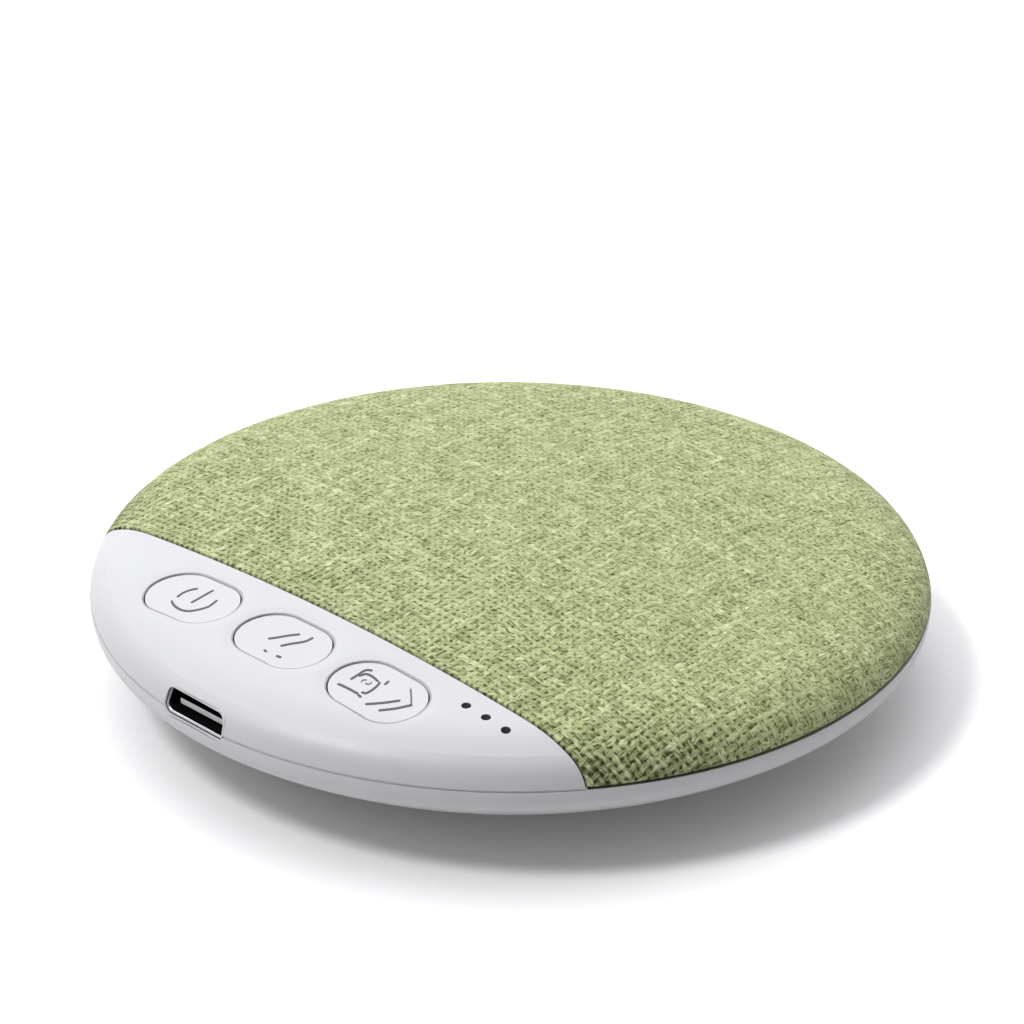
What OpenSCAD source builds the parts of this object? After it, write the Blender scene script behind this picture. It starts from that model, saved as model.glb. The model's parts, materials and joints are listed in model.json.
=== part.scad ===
// White noise sound machine: a slim round speaker with a woven cover, a crescent
// control panel with three push buttons, and a USB-C socket in the rim.
// Millimetres. +Z is up, the panel and the socket face -Y, and the origin is
// under the centre of the foot.

/* [Case] */
// Diameter at the widest line
disc_d = 100; // [96:1:120]
// Rise of the top above the widest line
dome_rise = 8.3; // [8:0.1:11]
// Depth of the lower shell below the widest line
under_depth = 10; // [9.6:0.1:14]
// Height of the parting line above the widest line
seam_rise = 0.6; // [0.3:0.1:1.5]
// Width of the parting line
seam_gap = 0.25; // [0.1:0.05:0.4]
// Radius of the upper edge
edge_top_r = 4.5; // [4:0.1:6]
// Angle from vertical at which the upper edge meets the shoulder
edge_top_angle = 32; // [25:1:45]
// Radius of the shoulder between the edge and the dome
shoulder_r = 12; // [8:0.5:18]
// Radius of the lower edge
edge_under_r = 3.5; // [3:0.1:5]
// Angle from vertical at which the lower edge meets the bowl
edge_under_angle = 37; // [30:1:45]
// Radius of the bowl under the edge
bowl_r = 45; // [40:1:60]
// Thickness of the case walls
wall = 2.2; // [1.8:0.1:2.4]
// Thickness of the locating lip on the lower shell
lip_t = 0.55; // [0.4:0.05:0.7]
// Height of the locating lip above the parting line
lip_h = 1.2; // [0.8:0.1:1.6]

/* [Cover] */
// Thickness of the woven cover
cover_t = 0.8; // [0.5:0.05:1]
// Depth of the control panel from the rim to its straight edge
panel_depth = 20.5; // [18:0.5:24]
// Gap between the cover and the panel
cover_gap = 0.15; // [0.05:0.05:0.3]

/* [Buttons] */
// Length of a button
button_l = 12.4; // [10:0.1:13.5]
// Width of a button
button_w = 8.3; // [6:0.1:9]
// Distance between button centres
button_pitch = 15.4; // [15:0.1:17]
// Distance of the button row from the rim
button_inset = 13.2; // [12.5:0.1:14]
// Gap around a button
button_gap = 0.2; // [0.1:0.05:0.3]
// How far a button's top lies below the panel around it
button_drop = 0.15; // [0:0.05:0.3]
// How far a button goes down
button_travel = 0.35; // [0.2:0.05:0.5]
// Thickness of a button's top and skirt
button_wall = 1.3; // [1:0.1:1.6]
// How far a button's flange reaches under the panel
button_flange_w = 0.8; // [0.5:0.1:1]
// Thickness of a button's flange at its thinnest
button_flange_t = 0.6; // [0.4:0.1:1]

/* [Switches] */
// Side of a switch housing
switch_w = 4.5; // [4:0.1:5]
// Height of a switch housing
switch_h = 2; // [1.5:0.1:2.2]
// Radius of a switch plunger
plunger_r = 1; // [0.8:0.1:1.3]

/* [Indicators] */
// Distance of the first indicator from the middle of the case
indicator_x = 24.7; // [24.2:0.1:25.5]
// Distance of the indicator row from the rim
indicator_inset = 17.8; // [17.4:0.1:18.4]
// Distance between indicators
indicator_pitch = 3.05; // [2.5:0.05:3.2]
// Diameter of an indicator hole
indicator_d = 1.1; // [0.8:0.1:1.6]

/* [Socket] */
// Sideways place of the socket
port_x = -0.9; // [-2:0.1:1]
// Height of the socket's centre above the widest line
port_rise = 1.42; // [1.3:0.02:1.6]
// Width of the slot in the case
port_w = 10; // [9.4:0.1:11]
// Height of the slot in the case
port_h = 3.3; // [3.2:0.1:3.8]
// Corner radius of the slot
port_corner = 1.2; // [0.4:0.1:1.5]
// Distance of the metal shell's mouth behind the widest line
port_recess = 1.1; // [0.8:0.1:1.8]

/* [Speaker] */
// Distance of the speaker behind the middle of the case
speaker_y = 12; // [11:0.5:14]
// Radius of the speaker's flange
flange_r = 20; // [18.5:0.1:20]
// Depth of the speaker from its flange to its magnet
speaker_depth = 9.7; // [9.2:0.1:9.9]
// Radius of the magnet cup
yoke_r = 9; // [8:0.1:10]
// Radius of the voice coil
coil_r = 7.5; // [6.8:0.1:7.5]
// Radius of the cone
cone_r = 15.3; // [14.5:0.1:15.6]
// How far the cone moves each way
cone_travel = 0.6; // [0.3:0.1:0.8]
// Thickness of the grille
grille_t = 1.2; // [0.9:0.1:1.4]
// Width of a grille slot
slot_w = 1.2; // [0.8:0.1:1.4]
// Distance between grille slots
slot_pitch = 2.4; // [2.2:0.1:3]
// Width of a grille spoke
spoke_w = 1.6; // [1:0.1:2]

/* [Board] */
// Thickness of the circuit board
board_t = 1.2; // [0.8:0.1:1.3]
// Distance of the board's round edge from the rim
board_inset = 4; // [3.9:0.1:4.5]
// Radius of the posts that carry the board
board_post_r = 2.4; // [2:0.1:2.8]

/* [Battery] */
// Length of the battery cell
battery_l = 30; // [20:0.5:30]
// Width of the battery cell
battery_w = 17.5; // [12:0.5:17.5]
// Thickness of the battery cell
battery_t = 5.5; // [4:0.1:5.6]
// Thickness of the foam pad under the cell
pad_t = 0.3; // [0.2:0.1:0.5]

/* [Foot] */
// Height of the foot below the case
foot_h = 1; // [0.5:0.1:2]
// Width of the foot ring
foot_w = 5; // [4.5:0.1:6]
// Depth of the groove that holds the foot ring
foot_groove = 1; // [0.6:0.1:1.2]

/* [Screws] */
// Radius of a case screw's shank
case_screw_r = 1; // [0.8:0.05:1.2]
// Radius of a case screw's head
case_head_r = 1.9; // [1.7:0.1:2.1]
// Radius of a small screw's shank
small_screw_r = 0.8; // [0.6:0.05:0.9]
// Radius of a small screw's head
small_head_r = 1.5; // [1.3:0.1:1.6]

/* [Hidden] */

$fn = 96;
dome_facets = 1440;
slice_overlap = 10;
slice_margin = 1;
level = 90;
arc_step = 0.003;
POWER = -1;
SOUND = 0;
MODE = 1;

// Fits
glue_gap = 0.05;
fit = 0.1;
flange_gap = 0.2;
cut = 1;

// Heights
case_r = disc_d / 2;
base_z = foot_h;
rim_z = base_z + under_depth;
seam_z = rim_z + seam_rise;
floor_z = base_z + wall;
upper_z = seam_z + seam_gap / 2;
lower_z = seam_z - seam_gap / 2;
cover_inset = cover_t + glue_gap;

// Centres of the arcs that make the outline, as [radius, height]
edge_top_c = [case_r - edge_top_r, rim_z];
shoulder_c = edge_top_c + (edge_top_r - shoulder_r) * tilt(edge_top_angle);
apex_z = rim_z + dome_rise;
shoulder_drop = shoulder_c[1] - apex_z;
dome_r = (pow(shoulder_r, 2) - pow(shoulder_c[0], 2) - pow(shoulder_drop, 2))
    / (2 * (shoulder_drop + shoulder_r));
dome_c = [0, apex_z - dome_r];
dome_angle = asin(shoulder_c[0] / (dome_r - shoulder_r));
edge_under_c = [case_r - edge_under_r, rim_z];
bowl_c = edge_under_c + (edge_under_r - bowl_r) * tilt(180 - edge_under_angle);
base_flat_r = bowl_c[0] + sqrt(pow(bowl_r, 2) - pow(bowl_c[1] - base_z, 2));

// Panel
panel_y = panel_depth - case_r;
button_x = 0.1;
button_y = button_inset - case_r;
button_sink = wall + flange_gap;
button_end = [button_pitch + button_x + (button_l - button_w) / 2, button_y];
skirt_r = norm(button_end) + button_w / 2 + button_flange_w;
skirt_bottom = skin_z(skirt_r, button_sink) - button_flange_t;
indicator_y = indicator_inset - case_r;
indicator_count = 3;
guide_margin = 1.3;
guide_w = 2;
guide_t = 1.2;

// Socket: the metal shell has the size that the USB-C standard gives
usb_w = 8.94;
usb_h = 3.16;
usb_wall = 0.3;
usb_l = 6.9;
usb_tongue_w = 6.69;
usb_tongue_t = 0.7;
usb_tongue_back = 0.9;
usb_block_l = 1.8;
port_z = rim_z + port_rise;
port_y = port_recess - case_r;

// Board
board_top = port_z - usb_h / 2;
board_bottom = board_top - board_t;
board_r = case_r - board_inset;
speaker_clear = 1.5;
board_back = speaker_y - flange_r - speaker_clear;
rear_post_in = 5.3;
rear_post_angle = 65;
front_post_in = 3.4;
front_post_angle = 11;
pilot_depth = 3;
led_size = [1.6, 0.8, 0.6];
control_chip_size = [6, 6, 0.9];
control_chip_in = 7.8;
control_chip_at = [-27, button_y + control_chip_in];
amplifier_chip_size = [4, 4, 0.9];
rear_row_y = board_back - 4;
capacitor_r = 1.6;
capacitor_h = 2.4;
capacitor_pitch = 4.5;
capacitor_x = flange_r - capacitor_r;
capacitor_spots = [
    [-capacitor_x, rear_row_y],
    [-capacitor_x, rear_row_y - capacitor_pitch],
    [capacitor_x, rear_row_y],
    [capacitor_x - capacitor_pitch, rear_row_y]
];
amplifier_chip_at = [capacitor_x - capacitor_pitch / 2, rear_row_y - capacitor_pitch - capacitor_r];
socket_size = [6, 4, 3];
socket_back = board_back - 1.5;
battery_socket_x = -10;
speaker_socket_x = 0;
plunger_show = 0.5;
plunger_sink = 1;
plunger_fit = 0.08;
plunger_top = board_top + switch_h + plunger_show;
post_gap = 0.05;

// Battery
battery_y = board_back - 0.5 - battery_w / 2;
battery_z = floor_z + pad_t;
battery_edge_r = 1.6;
rib_t = 1;
rib_h = 2.4;
rib_l = 6;

// Foot and case screws
foot_outer = base_flat_r - 1;
foot_inner = foot_outer - foot_w;
foot_mid = foot_outer - foot_w / 2;
foot_edge = 0.4;
well_floor = 1.2;
head_room = 1.9;
well_top = base_z + foot_groove + head_room + well_floor;
counterbore_r = case_head_r + 0.5;
well_r = counterbore_r + 1;
boss_r = 2.9;
boss_clear = 0.8;
screw_reach = 5;
case_head_h = 1.3;
small_head_h = 1.1;
drive_w = 0.5;
drive_l = 1.8;
drive_depth = 0.6;

// Speaker heights, from the top down
mount_h = 1.5;
mount_z = skin_z(speaker_y + flange_r, wall) - mount_h;
gasket_t = 0.4;
surround_t = 0.3;
flange_top = mount_z - gasket_t - surround_t;
flange_t = 0.8;
flange_bottom = flange_top - flange_t;
yoke_bottom = flange_top - speaker_depth;
yoke_t = 1;
magnet_h = 1.8;
pole_h = 1.2;
yoke_top = yoke_bottom + yoke_t + magnet_h + pole_h;
coil_t = 0.3;
coil_gap = 0.35;
coil_spare = 0.7;
pole_r = coil_r - coil_t / 2 - coil_gap;
basket_t = 0.8;
basket_r = flange_r - 1.6;
cup_step = 0.4;
basket_floor = yoke_top + cup_step;
window_count = 6;
spider_z = basket_floor + basket_t + 0.8;
spider_t = 0.25;
spider_r = 14.2;
spider_ledge = 1.2;
spider_waves = 3;
spider_steps = 8;
spider_h = 0.7;
neck_z = spider_z + spider_h + 0.2;
cone_t = 0.35;
cone_edge_z = flange_top - glue_gap;
coil_bottom = yoke_bottom + yoke_t + cone_travel + coil_spare;
coil_top = neck_z + 0.5;
cap_r = coil_r + 0.9;
cap_rise = 1.5;
cap_t = 0.3;
roll_outer = basket_r - basket_t + 0.2;
roll_mid = (cone_r + roll_outer) / 2;
roll_r = (roll_outer - cone_r) / 2;
mount_ring_inner = roll_outer + 0.3;
mount_ring_outer = flange_r + 0.6;
grille_r = flange_r + 0.2;
grille_rim = 2.4;
slot_rings = floor((grille_r - grille_rim - slot_pitch) / slot_pitch);
post_r = 2.1;
speaker_post_at = flange_r + post_r + 0.2;
speaker_post_angles = [90, 210, 330];
speaker_screw_l = 2.8;
terminal_size = [5.2, 0.8, 2.2];
terminal_y = speaker_y - basket_r - glue_gap - terminal_size[1];
terminal_z = flange_bottom - 1.4;

// Leads: the route of each, from the cell or the speaker to its socket
lead_r = 0.5;
lead_gap = 2.4;
lead_sides = 8;
lead_z = board_top + 1.5;
battery_route = [
    [0, board_back - 0.5, battery_z + 2.8],
    [0, board_back + 0.3, battery_z + 2.9],
    [0, board_back + 1.0, battery_z + 3.6],
    [0, board_back + 1.3, battery_z + 4.8],
    [0, board_back + 1.4, board_top - 0.6],
    [0, board_back + 1.1, board_top + 0.6],
    [0, board_back + 0.4, lead_z - 0.1],
    [0, board_back - 0.5, lead_z],
    [0, socket_back, lead_z]
];
speaker_route = [
    [0, terminal_y, terminal_z],
    [0, terminal_y - 0.6, terminal_z],
    [0, terminal_y - 1.2, terminal_z + 0.2],
    [0, board_back + 0.4, lead_z - 0.3],
    [0, board_back - 0.3, lead_z - 0.05],
    [0, board_back - 0.9, lead_z],
    [0, socket_back, lead_z]
];

// Colours
case_white = [0.93, 0.93, 0.94];
cover_green = [0.60, 0.67, 0.42];
black = [0.06, 0.06, 0.06];
steel = [0.75, 0.76, 0.78];
board_green = [0.05, 0.35, 0.18];

// Unit vector at an angle from straight up, towards the rim
function tilt(a) = [sin(a), cos(a)];

// Height of the top surface at radius r, sunk by an inset
function skin_z(r, inset) =
    r < shoulder_c[0] + (shoulder_r - inset) * sin(dome_angle)
        ? dome_c[1] + sqrt(pow(dome_r - inset, 2) - pow(r, 2))
    : r < edge_top_c[0] + (edge_top_r - inset) * sin(edge_top_angle)
        ? shoulder_c[1] + sqrt(pow(shoulder_r - inset, 2) - pow(r - shoulder_c[0], 2))
    : rim_z + sqrt(pow(edge_top_r - inset, 2) - pow(r - edge_top_c[0], 2));

// Point at radius r and an angle from the panel side
function from_front(r, angle) = [r * sin(angle), -r * cos(angle)];

board_post_spots = [for (side = [-1, 1]) each [
    from_front(board_r - rear_post_in, side * rear_post_angle),
    from_front(board_r - front_post_in, side * front_post_angle)
]];
screw_x = flange_r + boss_r + boss_clear;
screw_y = sqrt(pow(foot_mid, 2) - pow(screw_x, 2));
case_screw_spots = [for (x = [-screw_x, screw_x], y = [-screw_y, screw_y]) [x, y]];

// ---- Outline ----

// Slice of a disc between two angles from straight up
module slice(centre, r, from, to, facets = $fn) {
    reach = 1.5 * r;
    intersection() {
        translate(centre) circle(r = r, $fn = facets);
        polygon([centre, centre + reach * tilt(from), centre + reach * tilt(to)]);
    }
}

// Half section of the hollow under the cover: its slices overlap, so that no skin is left between them
module cover_hollow_section() {
    intersection() {
        union() {
            slice(edge_top_c, edge_top_r - cover_t, edge_top_angle - slice_overlap, level + slice_margin);
            slice(shoulder_c, shoulder_r + arc_step - cover_t, dome_angle - slice_overlap, edge_top_angle);
            slice(dome_c, dome_r + 2 * arc_step - cover_t, 0, dome_angle, dome_facets);
            polygon([[0, rim_z - cut], [edge_top_c[0], rim_z - cut], edge_top_c, shoulder_c, [0, shoulder_c[1]]]);
        }
        translate([0, rim_z]) square([disc_d, dome_rise + cut]);
    }
}

// Half section of everything under the top surface, down to the widest line
module top_section(inset) {
    intersection() {
        union() {
            slice(edge_top_c, edge_top_r - inset, edge_top_angle, level + slice_margin);
            slice(shoulder_c, shoulder_r - inset, dome_angle, edge_top_angle);
            slice(dome_c, dome_r - inset, 0, dome_angle, dome_facets);
            polygon([[0, rim_z - cut], [edge_top_c[0], rim_z - cut], edge_top_c,
                edge_top_c + (edge_top_r - inset) * tilt(edge_top_angle), shoulder_c, [0, shoulder_c[1]]]);
        }
        translate([0, rim_z]) square([disc_d, dome_rise + cut]);
    }
}

// Half section of the lower shell's outline, up to the widest line
module under_section(inset) {
    intersection() {
        union() {
            slice(edge_under_c, edge_under_r - inset, level - slice_margin, 180 - edge_under_angle + slice_overlap);
            slice(bowl_c, bowl_r - inset, 180 - edge_under_angle, 180 + slice_margin);
            square([bowl_c[0], rim_z]);
        }
        translate([0, base_z + inset]) square([disc_d, under_depth - inset]);
    }
}

// The part of the disc above its widest line, sunk by an inset
module dome(inset) {
    rotate_extrude() top_section(inset);
}

// The whole disc, sunk by an inset
module disc(inset) {
    rotate_extrude() {
        top_section(inset);
        under_section(inset);
    }
}

module above(z) {
    translate([-disc_d, -disc_d, z]) cube([2 * disc_d, 2 * disc_d, disc_d]);
}

module below(z) {
    translate([-disc_d, -disc_d, z - disc_d]) cube([2 * disc_d, 2 * disc_d, disc_d]);
}

module behind(y) {
    translate([-disc_d, y, -cut]) cube([2 * disc_d, 2 * disc_d, disc_d]);
}

// ---- Shared shapes ----

module at_each(spots) {
    for (spot = spots) translate(spot) children();
}

module at_speaker() {
    translate([0, speaker_y, 0]) children();
}

module tube_ring(inner, outer, z0, z1) {
    translate([0, 0, z0]) linear_extrude(z1 - z0) difference() {
        circle(r = outer);
        circle(r = inner);
    }
}

module stadium(l, w) {
    union() {
        square([l - w, w], center = true);
        for (side = [-1, 1]) translate([side * (l - w) / 2, 0]) circle(d = w);
    }
}

module rounded_rectangle(w, h, r) {
    union() {
        square([w - 2 * r, h], center = true);
        square([w, h - 2 * r], center = true);
        for (x = [-1, 1], y = [-1, 1]) translate([x * (w / 2 - r), y * (h / 2 - r)]) circle(r = r);
    }
}

// Prism along Y, from y0 to y1, with a centred outline
module along_y(y0, y1) {
    translate([0, y1, 0]) rotate([90, 0, 0]) linear_extrude(y1 - y0) children();
}

module block_on(spot, size, z) {
    translate([spot[0] - size[0] / 2, spot[1] - size[1] / 2, z]) cube(size);
}

// Screw with its head at z and its shank going up
module screw_up(head_z, head_h, head_r, shank_r, reach) {
    difference() {
        union() {
            translate([0, 0, head_z]) cylinder(r = head_r, h = head_h);
            translate([0, 0, head_z]) cylinder(r = shank_r, h = head_h + reach);
        }
        for (a = [0, 90]) rotate(a) translate([-drive_l / 2, -drive_w / 2, head_z - cut])
            cube([drive_l, drive_w, drive_depth + cut]);
    }
}

module port_slot() {
    translate([port_x, 0, port_z]) along_y(-case_r - cut, button_y - switch_w)
        rounded_rectangle(port_w, port_h, port_corner);
}

module at_button(which) {
    translate([button_x + which * button_pitch, button_y, 0]) children();
}

// ---- Casing ----

module bottom_shell() {
    color(case_white) difference() {
        union() {
            intersection() {
                difference() {
                    disc(0);
                    disc(wall);
                }
                below(lower_z);
            }
            locating_lip();
            intersection() {
                floor_posts();
                disc(wall / 2);
                below(lower_z);
            }
        }
        port_slot();
        tube_ring(foot_inner - fit, foot_outer + fit, base_z - cut, base_z + foot_groove);
        at_each(case_screw_spots) {
            translate([0, 0, base_z - cut]) cylinder(r = counterbore_r, h = well_top - well_floor - base_z + cut);
            translate([0, 0, base_z - cut]) cylinder(r = case_screw_r + fit, h = well_top - base_z + 2 * cut);
        }
        at_each(board_post_spots) translate([0, 0, board_bottom - pilot_depth])
            cylinder(r = small_screw_r, h = pilot_depth + cut);
    }
}

module locating_lip() {
    intersection() {
        difference() {
            disc(wall - lip_t);
            disc(wall);
        }
        translate([0, 0, lower_z - cut]) cylinder(r = disc_d, h = seam_gap / 2 + lip_h + cut);
    }
}

// Screw wells, board posts and the ribs round the battery
module floor_posts() {
    at_each(case_screw_spots) translate([0, 0, base_z]) cylinder(r = well_r, h = well_top - base_z);
    at_each(board_post_spots) translate([0, 0, base_z]) cylinder(r = board_post_r, h = board_bottom - base_z);
    translate([0, battery_y, base_z]) linear_extrude(wall + rib_h) difference() {
        square([battery_l + 2 * (fit + rib_t), battery_w + 2 * (fit + rib_t)], center = true);
        square([battery_l + 2 * fit, battery_w + 2 * fit], center = true);
        square([battery_l - 2 * rib_l, 2 * battery_w], center = true);
    }
}

module top_frame() {
    color(case_white) difference() {
        intersection() {
            union() {
                disc(cover_inset);
                difference() {
                    disc(0);
                    behind(panel_y);
                }
            }
            above(upper_z);
        }
        difference() {
            frame_cavity();
            frame_posts();
        }
        port_slot();
        for (which = [POWER, SOUND, MODE]) at_button(which) button_prism(button_gap, seam_z);
        indicator_pins(indicator_d / 2, rim_z, apex_z + cut);
        at_speaker() translate([0, 0, rim_z]) cylinder(r = mount_ring_inner, h = disc_d);
        intersection() {
            at_speaker() translate([0, 0, rim_z]) cylinder(r = grille_r + fit, h = disc_d);
            difference() {
                above(rim_z);
                disc(cover_inset + grille_t + glue_gap);
            }
        }
        at_each(case_screw_spots) cylinder(r = case_screw_r, h = well_top + screw_reach + fit);
        at_each(speaker_screw_spots()) cylinder(r = small_screw_r, h = flange_bottom + speaker_screw_l + fit);
    }
}

function speaker_screw_spots() = [for (a = speaker_post_angles)
    [speaker_post_at * cos(a), speaker_y + speaker_post_at * sin(a)]];

// Space inside the upper moulding, wider where the locating lip goes
module frame_cavity() {
    union() {
        disc(wall);
        intersection() {
            disc(wall - lip_t - fit);
            below(seam_z + lip_h + fit);
        }
    }
}

// Screw bosses and the ring that the speaker hangs from
module frame_posts() {
    at_each(case_screw_spots) translate([0, 0, well_top]) cylinder(r = boss_r, h = disc_d);
    at_each(speaker_screw_spots()) translate([0, 0, flange_bottom]) cylinder(r = post_r, h = disc_d);
    at_speaker() tube_ring(mount_ring_inner - cut, mount_ring_outer, mount_z, apex_z);
}

module speaker_grille() {
    color(black) difference() {
        intersection() {
            difference() {
                disc(cover_inset);
                disc(cover_inset + grille_t);
            }
            at_speaker() translate([0, 0, rim_z]) cylinder(r = grille_r, h = disc_d);
        }
        at_speaker() translate([0, 0, rim_z]) linear_extrude(disc_d) grille_slots();
    }
}

// Rings of slots with spokes left between them
module grille_slots() {
    difference() {
        union() {
            circle(r = slot_w);
            for (i = [1 : slot_rings]) difference() {
                circle(r = i * slot_pitch + slot_w);
                circle(r = i * slot_pitch);
            }
        }
        for (a = [30 : 60 : 150]) rotate(a) square([2 * grille_r, spoke_w], center = true);
    }
}

module fabric_cover() {
    color(cover_green) intersection() {
        difference() {
            disc(0);
            rotate_extrude() cover_hollow_section();
        }
        above(upper_z);
        behind(panel_y + cover_gap);
    }
}

module foot_ring() {
    color([0.25, 0.25, 0.26]) rotate_extrude() polygon([
        [foot_inner + foot_edge, 0],
        [foot_outer - foot_edge, 0],
        [foot_outer, foot_edge],
        [foot_outer, base_z + foot_groove - glue_gap],
        [foot_inner, base_z + foot_groove - glue_gap],
        [foot_inner, foot_edge]
    ]);
}

module case_screws() {
    color(steel) at_each(case_screw_spots)
        screw_up(well_top - well_floor - case_head_h, case_head_h, case_head_r,
            case_screw_r - fit / 2, well_floor + screw_reach);
}

// ---- Controls ----

module button(which) {
    color(case_white) union() {
        button_cap(which);
        button_post(which);
    }
}

module button_cap(which) {
    at_button(which) difference() {
        intersection() {
            union() {
                button_prism(0, skirt_bottom);
                intersection() {
                    button_prism(button_flange_w, skirt_bottom);
                    away_from_button(which) dome(button_sink);
                }
            }
            away_from_button(which) dome(button_drop);
        }
        button_hollow(which);
    }
}

// Upright prism with the outline of a button, grown all round, from height z
module button_prism(grow, z) {
    translate([0, 0, z]) linear_extrude(dome_rise) stadium(button_l + 2 * grow, button_w + 2 * grow);
}

// Puts the case's own centre back where it was
module away_from_button(which) {
    translate([-button_x - which * button_pitch, -button_y, 0]) children();
}

module button_hollow(which) {
    intersection() {
        button_prism(-button_wall, seam_z);
        away_from_button(which) dome(button_wall);
    }
}

module button_post(which) {
    intersection() {
        at_button(which) translate([0, 0, plunger_top + post_gap]) cylinder(r = plunger_r + 0.4, h = disc_d);
        dome(button_wall / 2);
    }
}

module switch_housing(which) {
    color(steel) at_button(which) difference() {
        translate([-switch_w / 2, -switch_w / 2, board_top]) cube([switch_w, switch_w, switch_h]);
        translate([0, 0, board_top + switch_h - plunger_sink - button_travel - fit])
            cylinder(r = plunger_r + plunger_fit, h = disc_d);
    }
}

module switch_plunger(which) {
    color(black) at_button(which) translate([0, 0, board_top + switch_h - plunger_sink])
        cylinder(r = plunger_r, h = plunger_sink + plunger_show);
}

module power_button() { button(POWER); }
module sound_button() { button(SOUND); }
module mode_button() { button(MODE); }
module power_switch() { switch_housing(POWER); }
module sound_switch() { switch_housing(SOUND); }
module mode_switch() { switch_housing(MODE); }
module power_plunger() { switch_plunger(POWER); }
module sound_plunger() { switch_plunger(SOUND); }
module mode_plunger() { switch_plunger(MODE); }

module at_indicators() {
    for (i = [0 : indicator_count - 1]) translate([indicator_x + i * indicator_pitch, indicator_y, 0]) children();
}

module indicator_pins(r, z0, z1) {
    at_indicators() translate([0, 0, z0]) cylinder(r = r, h = z1 - z0);
}

module light_guide() {
    strip_l = (indicator_count - 1) * indicator_pitch + 2 * guide_margin;
    color([0.12, 0.12, 0.13]) union() {
        intersection() {
            disc(fit);
            indicator_pins(indicator_d / 2 - glue_gap, seam_z + lip_h, apex_z);
            above(skin_z(norm([indicator_x, indicator_y]), wall) - guide_t - 1);
        }
        intersection() {
            difference() {
                disc(wall + glue_gap);
                disc(wall + glue_gap + guide_t);
            }
            translate([indicator_x - guide_margin, indicator_y - guide_w / 2, seam_z])
                cube([strip_l, guide_w, disc_d]);
        }
    }
}

module indicator_leds() {
    color([0.9, 0.9, 0.6]) at_indicators() translate([-led_size[1] / 2, -led_size[0] / 2, board_top])
        cube([led_size[1], led_size[0], led_size[2]]);
}

// ---- Electronics ----

module main_board() {
    color(board_green) difference() {
        translate([0, 0, board_bottom]) cylinder(r = board_r, h = board_t);
        behind(board_back);
        at_each(case_screw_spots) cylinder(r = boss_r + 0.5, h = disc_d);
        at_each(board_post_spots) cylinder(r = small_screw_r + fit, h = disc_d);
    }
}

module board_screws() {
    color(steel) at_each(board_post_spots) translate([0, 0, board_top + small_head_h]) rotate([180, 0, 0])
        screw_up(0, small_head_h, small_head_r, small_screw_r - fit / 2, board_t + pilot_depth - fit);
}

module usb_c_shell() {
    color(steel) translate([port_x, 0, port_z]) along_y(port_y, port_y + usb_l) difference() {
        stadium(usb_w, usb_h);
        stadium(usb_w - 2 * usb_wall, usb_h - 2 * usb_wall);
    }
}

module usb_c_tongue() {
    color([0.75, 0.75, 0.76]) translate([port_x, 0, port_z]) union() {
        along_y(port_y + usb_tongue_back, port_y + usb_l - usb_block_l / 2)
            square([usb_tongue_w, usb_tongue_t], center = true);
        along_y(port_y + usb_l - usb_block_l, port_y + usb_l)
            stadium(usb_w - 2 * (usb_wall + glue_gap), usb_h - 2 * (usb_wall + glue_gap));
    }
}

module control_chip() {
    color(black) block_on(control_chip_at, control_chip_size, board_top);
}

module amplifier_chip() {
    color(black) block_on(amplifier_chip_at, amplifier_chip_size, board_top);
}

module board_capacitors() {
    color(steel) at_each(capacitor_spots) translate([0, 0, board_top]) cylinder(r = capacitor_r, h = capacitor_h);
}

module lead_socket(x) {
    color(case_white) translate([x - socket_size[0] / 2, socket_back - socket_size[1], board_top]) cube(socket_size);
}

module battery_socket() { lead_socket(battery_socket_x); }
module speaker_socket() { lead_socket(speaker_socket_x); }

module battery_cell() {
    color([0.72, 0.74, 0.78]) translate([-battery_l / 2, battery_y, battery_z + battery_t / 2])
        rotate([90, 0, 90]) linear_extrude(battery_l) rounded_rectangle(battery_w, battery_t, battery_edge_r);
}

module battery_pad() {
    margin = battery_edge_r + 0.5;
    color([0.2, 0.2, 0.2]) block_on([0, battery_y], [battery_l - 2 * margin, battery_w - 2 * margin, pad_t], floor_z);
}

// Rings of points round a route that lies in the YZ plane, joined into one closed tube
module lead(route, x) {
    count = len(route);
    points = [for (i = [0 : count - 1]) each ring_at(route, i, x)];
    sides = [for (i = [0 : count - 2], k = [0 : lead_sides - 1]) [
        i * lead_sides + k,
        i * lead_sides + (k + 1) % lead_sides,
        (i + 1) * lead_sides + (k + 1) % lead_sides,
        (i + 1) * lead_sides + k
    ]];
    start = [for (k = [lead_sides - 1 : -1 : 0]) k];
    end = [for (k = [0 : lead_sides - 1]) (count - 1) * lead_sides + k];
    polyhedron(points, concat([start], sides, [end]));
}

function ring_at(route, i, x) =
    let (
        before = route[max(i - 1, 0)],
        after = route[min(i + 1, len(route) - 1)],
        along = (after - before) / norm(after - before),
        across = [1, 0, 0],
        up = cross(along, across)
    )
    [for (k = [0 : lead_sides - 1])
        route[i] + [x, 0, 0] + lead_r * (cos(360 * k / lead_sides) * across + sin(360 * k / lead_sides) * up)];

module battery_lead_red() { color("red") lead(battery_route, battery_socket_x - lead_gap / 2); }
module battery_lead_black() { color(black) lead(battery_route, battery_socket_x + lead_gap / 2); }
module speaker_lead_red() { color("red") lead(speaker_route, speaker_socket_x - lead_gap / 2); }
module speaker_lead_black() { color(black) lead(speaker_route, speaker_socket_x + lead_gap / 2); }

// ---- Speaker ----

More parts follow.
